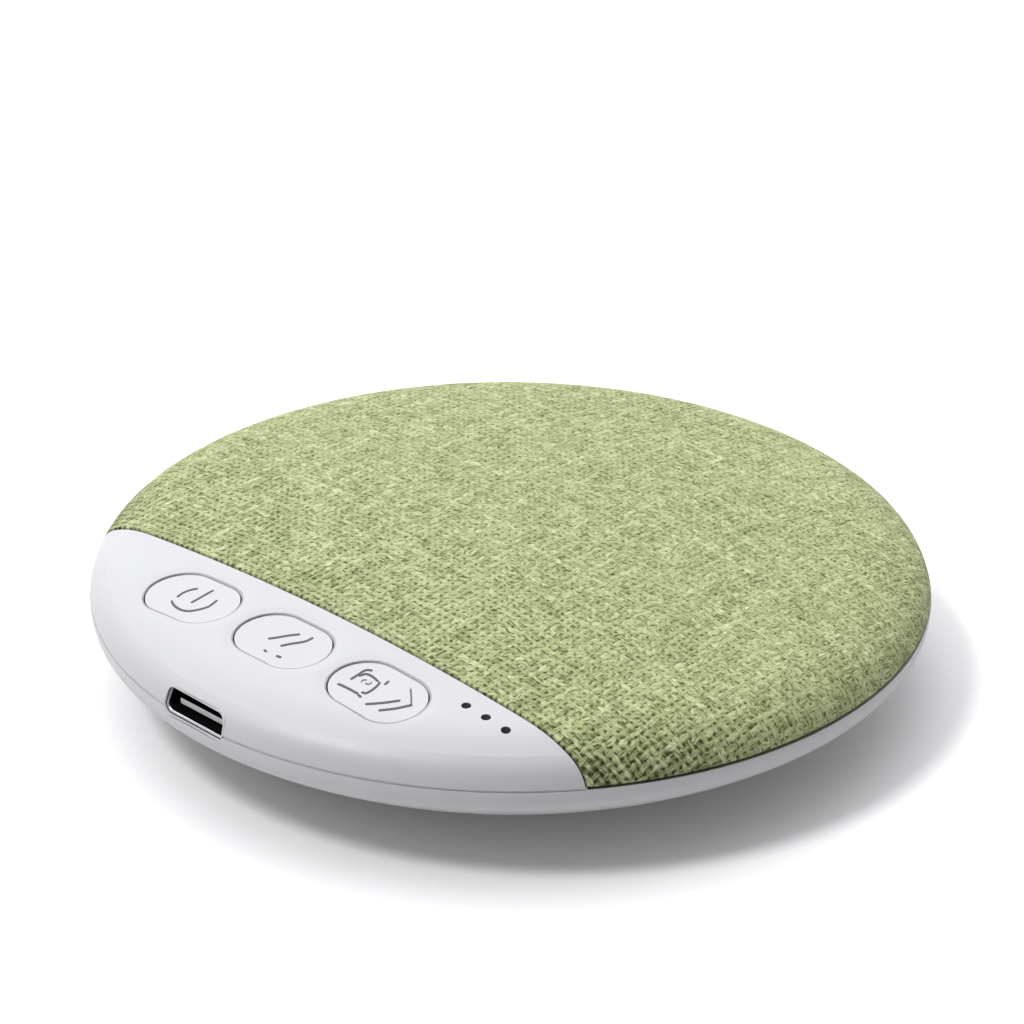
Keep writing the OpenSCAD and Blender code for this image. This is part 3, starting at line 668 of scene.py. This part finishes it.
def woven_cover():
    """The cloth, stretched over the top and turned down at its edges"""
    corner = math.asin(-PANEL_EDGE_Y / skin.at(skin.length).x)
    panel_angles = arc(math.pi + corner, 2 * math.pi - corner, PANEL_STEPS)[1:-1]
    angles = arc(-corner, math.pi + corner, ROUND_STEPS) + panel_angles
    points, flat = [], []

    def put(along, angle, depth):
        r, z = skin.at(along, depth - LIP_RISE * lip(along, angle))
        points.append((r * math.cos(angle), r * math.sin(angle), z))
        flat.append((along * math.cos(angle), along * math.sin(angle)))

    # One column of points for each angle: the seen rings, the turned edge and the hidden underside
    put(0, 0, TOP_DEPTH)
    for angle in angles:
        end = cover_end(angle)
        for along in arc(0, end - TURN_R, RINGS)[1:]:
            put(along, angle, dip(along, angle, end))
        for turn in arc(0, math.pi / 2, TURN_STEPS)[1:]:
            put(end - TURN_R * (1 - math.sin(turn)), angle, TURN_R * (1 - math.cos(turn)))
        for along in arc(end, 0, HIDDEN_RINGS)[:-1]:
            put(along, angle, COVER_T)
    put(0, 0, COVER_T)
    column = RINGS + TURN_STEPS + HIDDEN_RINGS
    last = len(points) - 1
    faces = []
    for k in range(len(angles)):
        a = 1 + k * column
        b = 1 + (k + 1) % len(angles) * column
        faces.append((0, a, b))
        faces += [(a + i, a + i + 1, b + i + 1, b + i) for i in range(column - 1)]
        faces.append((a + column - 1, last, b + column - 1))
    cover = new_piece("woven_cover", points, faces, "case", FINISHES["cloth"])
    layer = cover.data.uv_layers.new(name="cut")
    for loop in cover.data.loops:
        layer.data[loop.index].uv = flat[loop.vertex_index]
    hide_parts("fabric_cover")


# ---------------------------------------------------------------- port

PORT_X, _, PORT_Z = middle_of("usb_c_shell")
CORNER_STEPS = 7
TONGUE_W = 6.69
TONGUE_T = 0.7
TONGUE_MORE = 0.45
TONGUE_BEVEL = 0.05


def even(half_l, half_h, r):
    """An outline that lies evenly about the port's middle"""
    return (-half_l, half_l, -half_h, half_h, (r,) * 4)


# Outlines from the port's middle: left, right, low and high side, then the corner radii from low left
# round to high left
OPENING = even(4.995, 1.645, 1.195)
TUBE_OUTER = even(4.47, 1.58, 1.579)
TUBE_INNER = even(4.17, 1.28, 1.279)
SLOT = (-4.85, 4.75, -1.39, 1.36, (1.1, 0.3, 1.3, 0.6))
SLOT_EDGE = (-4.88, 4.78, -1.42, 1.39, (1.12, 0.32, 1.32, 0.62))
MOUTH_OUTER = (-4.71, 4.92, -1.25, 1.56, (1.0, 0.45, 1.0, 0.7))
MOUTH_RIM_OUTER = (-4.66, 4.9, -1.2, 1.53, (0.97, 0.42, 0.98, 0.66))
MOUTH_RIM_INNER = (-4.47, 4.88, -1.0, 1.48, (0.88, 0.34, 0.97, 0.45))
MOUTH_INNER = (-4.42, 4.86, -0.95, 1.44, (0.85, 0.3, 0.95, 0.4))
LINING_OUTER = (-4.4, 4.84, -0.93, 1.42, (0.83, 0.28, 0.93, 0.38))
LINING_INNER = (-4.34, 4.78, -0.87, 1.36, (0.8, 0.26, 0.9, 0.36))
TONGUE_BAR = (-TONGUE_W / 2, TONGUE_W / 2 + TONGUE_MORE, -TONGUE_T / 2, TONGUE_T / 2, (0.12,) * 4)
TONGUE_FACE = (TONGUE_BEVEL - TONGUE_W / 2, TONGUE_W / 2 + TONGUE_MORE - TONGUE_BEVEL,
               TONGUE_BEVEL - TONGUE_T / 2, TONGUE_T / 2 - TONGUE_BEVEL, (0.09,) * 4)
# How deep the port's edges lie in the rim
TRIM_ROLL = 0.04
TRIM_DEPTH = 0.34
MOUTH_RIM_DEPTH = 0.14
MOUTH_DEPTH = 0.2
LINING_EDGE_DEPTH = 0.3
LINING_DEPTH = 0.32
SUNK_DEPTH = 0.3
# Upright planes inside, from the rim's foremost point backwards
TONGUE_FRONT_Y = 1.43 - DISC_R
TONGUE_EDGE_Y = 1.48 - DISC_R
TONGUE_BACK_Y = 1.56 - DISC_R
# Where the black block of painted shade behind the tongue's face lies
TONGUE_SHADE_FRONT_Y = 1.59 - DISC_R
TONGUE_SHADE_BACK_Y = 2.05 - DISC_R
MOUTH_BACK_Y = 2.1 - DISC_R
LINING_BACK_Y = 2.15 - DISC_R
TUBE_FRONT_Y = 2.8 - DISC_R
TUBE_BACK_Y = highest_of("usb_c_shell").y


def slot_line(left, right, low, high, corners):
    """Points in x and z round an outline from the port's middle"""
    line = []
    turns = ((left, low, 1, 1, 180), (right, low, -1, 1, 270),
             (right, high, -1, -1, 0), (left, high, 1, -1, 90))
    for (x, z, x_way, z_way, start), r in zip(turns, corners):
        for angle in arc(math.radians(start), math.radians(start + 90), CORNER_STEPS):
            across = x + r * (x_way + math.cos(angle))
            up = z + r * (z_way + math.sin(angle))
            line.append((PORT_X + across, PORT_Z + up))
    return line


def on_side(line, depth, more=None):
    """The outline laid on the disc's edge, that deep in it, and deeper where more says so"""
    points = []
    for x, z in line:
        r = edge_radius(z, depth + more(x, z) if more else depth)
        points.append((x, -math.sqrt(r * r - x * x), z))
    return points


def at_y(line, y):
    return [(x, y, z) for x, z in line]


def sunk(x, z):
    """How much deeper the mouth lies where it hides behind the collar, at the top and the right"""
    across, up = x - PORT_X, z - PORT_Z
    top = held((up - 0.58) / 0.5) * held((across + 4.3) / 0.6)
    right = held((across - 4.2) / 0.4) * held((up + 0.72) / 0.4)
    return SUNK_DEPTH * max(top, right)


def port_trim():
    """White collar round the slot"""
    opening = slot_line(*OPENING)
    edge = slot_line(*SLOT_EDGE)
    slot = slot_line(*SLOT)
    loft("port_trim", [on_side(opening, TRIM_DEPTH), on_side(opening, 0.0), on_side(edge, 0.0),
                       on_side(slot, TRIM_ROLL), on_side(slot, TRIM_DEPTH)],
         FINISHES["white_plastic"])


def port_shell():
    """Bright metal mouth, which narrows to the socket's tube"""
    tube_outer, tube_inner = slot_line(*TUBE_OUTER), slot_line(*TUBE_INNER)
    mouth_outer, mouth_inner = slot_line(*MOUTH_OUTER), slot_line(*MOUTH_INNER)
    shell = loft("port_shell", [
        at_y(tube_outer, TUBE_BACK_Y), at_y(tube_outer, TUBE_FRONT_Y), at_y(mouth_outer, MOUTH_BACK_Y),
        on_side(mouth_outer, MOUTH_DEPTH, sunk), on_side(slot_line(*MOUTH_RIM_OUTER), MOUTH_RIM_DEPTH, sunk),
        on_side(slot_line(*MOUTH_RIM_INNER), MOUTH_RIM_DEPTH, sunk), on_side(mouth_inner, MOUTH_DEPTH, sunk),
        at_y(mouth_inner, MOUTH_BACK_Y), at_y(tube_inner, TUBE_FRONT_Y), at_y(tube_inner, TUBE_BACK_Y)],
        FINISHES["socket_metal"])
    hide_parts("usb_c_shell")


def port_shade_lining():
    """Black sleeve inside the mouth: painted shade deep in the socket"""
    outer, inner = slot_line(*LINING_OUTER), slot_line(*LINING_INNER)
    loft("port_shade_lining", [at_y(outer, LINING_BACK_Y), on_side(outer, LINING_EDGE_DEPTH, sunk),
                         on_side(inner, LINING_DEPTH, sunk), at_y(inner, MOUTH_BACK_Y)],
         PORT_SHADE_BLACK, around=False)


def port_tongue():
    """The tongue across the mouth, with a black block behind its face: painted shade on the tongue"""
    bar, face = slot_line(*TONGUE_BAR), slot_line(*TONGUE_FACE)
    tongue = loft("port_tongue", [at_y(bar, TONGUE_BACK_Y), at_y(bar, TONGUE_EDGE_Y),
                                  at_y(face, TONGUE_FRONT_Y)],
                  FINISHES["socket_plastic"], around=False, smooth=False)
    loft("port_tongue_shade", [at_y(face, TONGUE_SHADE_BACK_Y), at_y(face, TONGUE_SHADE_FRONT_Y)],
         PORT_SHADE_BLACK, around=False, smooth=False)
    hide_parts("usb_c_tongue")


# ---------------------------------------------------------------- parting line

SEAM_LIP_OUTER = 0.1
SEAM_LIP_INNER = 0.5
SEAM_LIP_SLACK = 0.01
SEAM_LIP_STEPS = 60
PORT_CLEAR = 5.05


def seam_lip():
    """The lower shell's lip, seen in the parting line on either side of the port"""
    low, high = UPPER_Z - SEAM_GAP + SEAM_LIP_SLACK, UPPER_Z - SEAM_LIP_SLACK
    corner = math.asin(PANEL_EDGE_Y / DISC_R)
    port_left = math.pi * 2 - math.acos((PORT_X - PORT_CLEAR) / DISC_R)
    port_right = math.pi * 2 - math.acos((PORT_X + PORT_CLEAR) / DISC_R)
    ends = {"left": (math.pi - corner, port_left), "right": (port_right, math.pi * 2 + corner)}
    for which, (start, end) in ends.items():
        loops = []
        for angle in arc(start, end, SEAM_LIP_STEPS):
            loop = []
            for depth, z in ((SEAM_LIP_OUTER, low), (SEAM_LIP_OUTER, high),
                             (SEAM_LIP_INNER, high), (SEAM_LIP_INNER, low)):
                r = edge_radius(z, depth)
                loop.append((r * math.cos(angle), r * math.sin(angle), z))
            loops.append(loop)
        loft("seam_lip_" + which, loops, FINISHES["white_plastic"],
             around=False, smooth=False)


# ---------------------------------------------------------------- speaker's soft rings

CONE_R = highest_of("speaker_cone").x
COIL_OUTER = highest_of("voice_coil").x
ROLL_OUTER = 17.8
SPIDER_WAVY_R = 13.0


def flexing(name, node, inner, outer):
    """A soft ring, which goes with the cone up to the inner radius and with the case from the outer one"""
    low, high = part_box(node)
    middle = (low + high) / 2
    mesh = NODES[node].data.copy()
    piece = bpy.data.objects.new(name, mesh)
    bpy.context.scene.collection.objects.link(piece)
    across = Vector((MM, 0, 0))
    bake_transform(piece, "cone", "case", start=middle + across * inner, end=middle + across * outer)
    # The ring bends alike all round: how far a point goes along hangs on its distance from the middle
    weights = []
    for vertex in mesh.vertices:
        t = held(((vertex.co.xy - middle.xy).length / MM - inner) / (outer - inner))
        weights.append(t * t * (3 - 2 * t))
    mesh.attributes["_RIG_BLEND"].data.foreach_set("value", weights)
    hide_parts(node)


# ---------------------------------------------------------------- signs

PEN_THIN = 0.2
PEN_WIDE = 0.42
PEN_ACROSS = Vector((0.716, 0.698))
INK_LIFT = 0.012
INK_SUNK = 0.1
CURVE_STEPS = 5
# Each mark's lines, from the middle of its button: how broad the pen is, and the points it goes through
SIGNS = {
    "power": [(1, [(-1.72, -0.74), (-1.83, -0.18), (-1.81, 0.4), (-1.7, 0.89), (-1.51, 1.31),
                   (-1.24, 1.7)]),
              (1, [(-1.57, -1.79), (-0.98, -2.16), (-0.05, -2.45), (0.82, -2.51), (1.64, -2.3),
                   (2.17, -1.83), (2.65, -1.08), (2.97, -0.25), (2.91, 0.57), (2.76, 1.25)]),
              (1, [(0.66, -0.66), (0.68, 2.48)])],
    "sound": [(1, [(-1.59, -0.6), (-0.99, 0.21), (-0.41, 1.08), (0.37, 2.01)]),
              (1, [(0.59, -0.73), (1.11, 0.15), (1.72, 0.99), (2.08, 1.66), (2.15, 2.46)]),
              (1, [(-0.29, -2.57), (0.01, -2.65)]),
              (1, [(1.71, -2.49), (2.14, -2.45)])],
    "mode": [(1, [(-4.3, -1.88), (-3.09, -1.78), (-1.49, -1.75)]),
             (1, [(-1.14, -1.88), (-0.73, -1.97)]),
             (1, [(-3.94, -0.26), (-3.95, 0.62), (-3.99, 1.52), (-3.87, 2.02), (-3.46, 2.28)]),
             (1, [(-3.69, 0.76), (-3.37, 1.42), (-2.69, 1.56), (-2.03, 1.48), (-1.39, 1.33)]),
             (1, [(-1.03, 1.27), (-0.8, 0.61), (-0.66, -0.4), (-0.75, -1.09), (-1.11, -1.24)]),
             (1, [(-0.36, 1.49), (-0.48, 2.05)]),
             (0.5, [(-2.7, 0.04), (-2.78, 0.42), (-2.55, 0.63)]),
             (0.5, [(-2.1, 0.16), (-1.81, 0.22), (-1.68, 0.5), (-1.81, 0.76)]),
             (1, [(0.79, -2.44), (1.95, -1.13), (2.97, 0.32)]),
             (1, [(2.7, -2.28), (3.69, -0.99), (4.56, 0.61)]),
             (0.8, [(4.56, 0.7), (3.6, 1.63), (2.39, 2.73)])],
}


def rounded(line):
    """A smooth curve through the points"""
    points = [Vector(p) for p in line]
    points = [points[0] * 2 - points[1]] + points + [points[-1] * 2 - points[-2]]
    result = []
    for a, b, c, d in zip(points, points[1:], points[2:], points[3:]):
        for t in arc(0, 1, CURVE_STEPS)[:-1]:
            result.append((2 * b + (c - a) * t + (2 * a - 5 * b + 4 * c - d) * t ** 2
                           + (3 * b - a - 3 * c + d) * t ** 3) / 2)
    return result + [points[-2]]


def round_end(middle, first, half):
    """Points of a half circle round the end of a line, after its first corner"""
    start = math.atan2(*(first - middle).yx)
    return [middle + half * Vector((math.cos(start + turn), math.sin(start + turn)))
            for turn in arc(0, math.pi, 6)[1:-1]]


def stroke(pen, line, at):
    """Points and faces of one printed line with round ends, as a broad pen draws it"""
    path = rounded(line)
    left, right, half = [], [], []
    for i, point in enumerate(path):
        ahead = (path[min(i + 1, len(path) - 1)] - path[max(i - 1, 0)]).normalized()
        half.append(pen * (PEN_THIN + (PEN_WIDE - PEN_THIN) * abs(ahead.dot(PEN_ACROSS))) / 2)
        side = Vector((-ahead.y, ahead.x)) * half[-1]
        left.append(point + side)
        right.append(point - side)
    tail = round_end(path[0], left[0], half[0])
    head = round_end(path[-1], right[-1], half[-1])
    outline = tail + right + head + left[::-1]
    points = []
    for lift in (INK_LIFT, -INK_SUNK):
        for p in outline:
            x, y = p.x + at[0], p.y + at[1]
            points.append((x, y, skin.height(x, y) - BUTTON_DROP + lift))
    n = len(path)
    count = len(outline)
    right_at = len(tail)
    head_at = right_at + n
    left_at = head_at + len(head)
    # Four-sided faces along the line and one face for each round end, then the same below and the sides
    top = [(right_at + i, right_at + i + 1, left_at + n - 2 - i, left_at + n - 1 - i) for i in range(n - 1)]
    top.append(tuple(range(right_at)) + (right_at, left_at + n - 1))
    top.append(tuple(range(head_at - 1, left_at + 1)))
    faces = top + [tuple(v + count for v in face[::-1]) for face in top]
    faces += [(i, (i + 1) % count, (i + 1) % count + count, i + count) for i in range(count)]
    return points, faces


def button_sign(which):
    """The plain mark on a button"""
    points, faces = [], []
    for pen, line in SIGNS[which]:
        more_points, more_faces = stroke(pen, line, BUTTON_AT[which])
        faces += [tuple(v + len(points) for v in face) for face in more_faces]
        points += more_points
    new_piece(which + "_sign", points, faces, which + "_key", INK, smooth=False)


# ---------------------------------------------------------------- studio

PICTURE_PX = 1024
SENSOR = 36
LENS_PX = 4000.0
RIM_MIDDLE_PX = (510.69, 581.273)
CAMERA_DISTANCE = 477.459
CAMERA_BEARING = math.radians(44.24)
CAMERA_RISE = math.radians(26.874)
CAMERA_ROLL = math.radians(0.421)
SUN_BEARING = math.radians(-115.5)
SUN_RISE = math.radians(58)
SUN_STRENGTH = 1.35
SUN_WIDTH = math.radians(15)
FLOOR_HALF = 3.0
FLOOR_PAPER = 0.78
FLOOR_GLOW = 0.12
ROOM_LOW = 0.19
ROOM_TOP = 2.07
ROOM_BACK = 0.72
ROOM_LEFT = 0.3
ROOM_LEAN = math.radians(20)
ROOM_TINT = (0.985, 0.985, 1.0)
AWAY_X = -0.7
AWAY_Y = 0.714
TONE_GAMMA = 0.66


def set_camera():
    """Long lens, low over the front right of the panel"""
    turn = (Matrix.Rotation(CAMERA_BEARING, 3, "Z") @ Matrix.Rotation(math.pi / 2 - CAMERA_RISE, 3, "X")
            @ Matrix.Rotation(CAMERA_ROLL, 3, "Z"))
    right_px = RIM_MIDDLE_PX[0] - PICTURE_PX / 2
    down_px = RIM_MIDDLE_PX[1] - PICTURE_PX / 2
    rim_middle = Vector((right_px / LENS_PX, -down_px / LENS_PX, -1.0)) * CAMERA_DISTANCE
    place = Vector((0, 0, RIM_Z)) - turn @ rim_middle
    data = bpy.data.cameras.new("camera")
    data.sensor_width = SENSOR
    data.lens = SENSOR * LENS_PX / PICTURE_PX
    data.clip_start = 0.01
    camera = bpy.data.objects.new("camera", data)
    camera.matrix_world = Matrix.Translation(place * MM) @ turn.to_4x4()
    bpy.context.scene.collection.objects.link(camera)
    bpy.context.scene.camera = camera


def set_sun():
    """Soft light from far away on the left"""
    data = bpy.data.lights.new("main_light", "SUN")
    data.energy = SUN_STRENGTH
    data.angle = SUN_WIDTH
    light = bpy.data.objects.new("main_light", data)
    level = math.cos(SUN_RISE)
    to_light = Vector((level * math.cos(SUN_BEARING), level * math.sin(SUN_BEARING), math.sin(SUN_RISE)))
    light.rotation_euler = to_light.to_track_quat("Z", "Y").to_euler()
    bpy.context.scene.collection.objects.link(light)


def set_floor():
    """Pale floor that glows faintly"""
    mesh = bpy.data.meshes.new("studio_floor")
    corners = [(x * FLOOR_HALF, y * FLOOR_HALF, 0) for x, y in ((-1, -1), (1, -1), (1, 1), (-1, 1))]
    mesh.from_pydata(corners, [], [(0, 1, 2, 3)])
    floor = bpy.data.objects.new("studio_floor", mesh)
    bpy.context.scene.collection.objects.link(floor)
    mesh.materials.append(finish("floor_paper", {"Roughness": 0.9, "Specular IOR Level": 0.1,
                                                 "Base Color": (FLOOR_PAPER, FLOOR_PAPER, FLOOR_PAPER, 1.0),
                                                 "Emission Color": (1.0, 1.0, 1.0, 1.0),
                                                 "Emission Strength": FLOOR_GLOW}))


def set_room():
    """Bright room, with a broad lamp overhead that leans to the back, and paler at the back and left"""
    world = bpy.data.worlds.new("room")
    world.use_nodes = True
    way = Field(world.node_tree).add("TexCoord", {}, {}, "Generated")
    x, y, z = way.parts()
    behind = x * AWAY_X + y * AWAY_Y
    left = x * -AWAY_Y + y * AWAY_X
    lamp = (behind * math.sin(ROOM_LEAN) + z * math.cos(ROOM_LEAN)).most(0.0)
    glow = lamp * lamp * lamp * lamp * ROOM_TOP + ROOM_LOW
    glow = glow + behind.most(0.0) * ROOM_BACK + left.most(0.0) * ROOM_LEFT
    colour = way.at(*ROOM_TINT).scaled(glow)
    world.node_tree.links.new(colour.socket, world.node_tree.nodes["Background"].inputs["Color"])
    bpy.context.scene.world = world


def set_tones():
    bpy.context.scene.view_settings.view_transform = "Standard"
    bpy.context.scene.view_settings.gamma = TONE_GAMMA


set_camera()
set_floor()
set_room()
set_sun()
set_tones()
dress_solids()
woven_cover()
seam_lip()
port_trim()
port_shell()
port_shade_lining()
port_tongue()
for which in SIGNS:
    button_sign(which)
flexing("speaker_surround", "cone_surround", CONE_R, ROLL_OUTER)
flexing("speaker_spider", "spider", COIL_OUTER, SPIDER_WAVY_R)
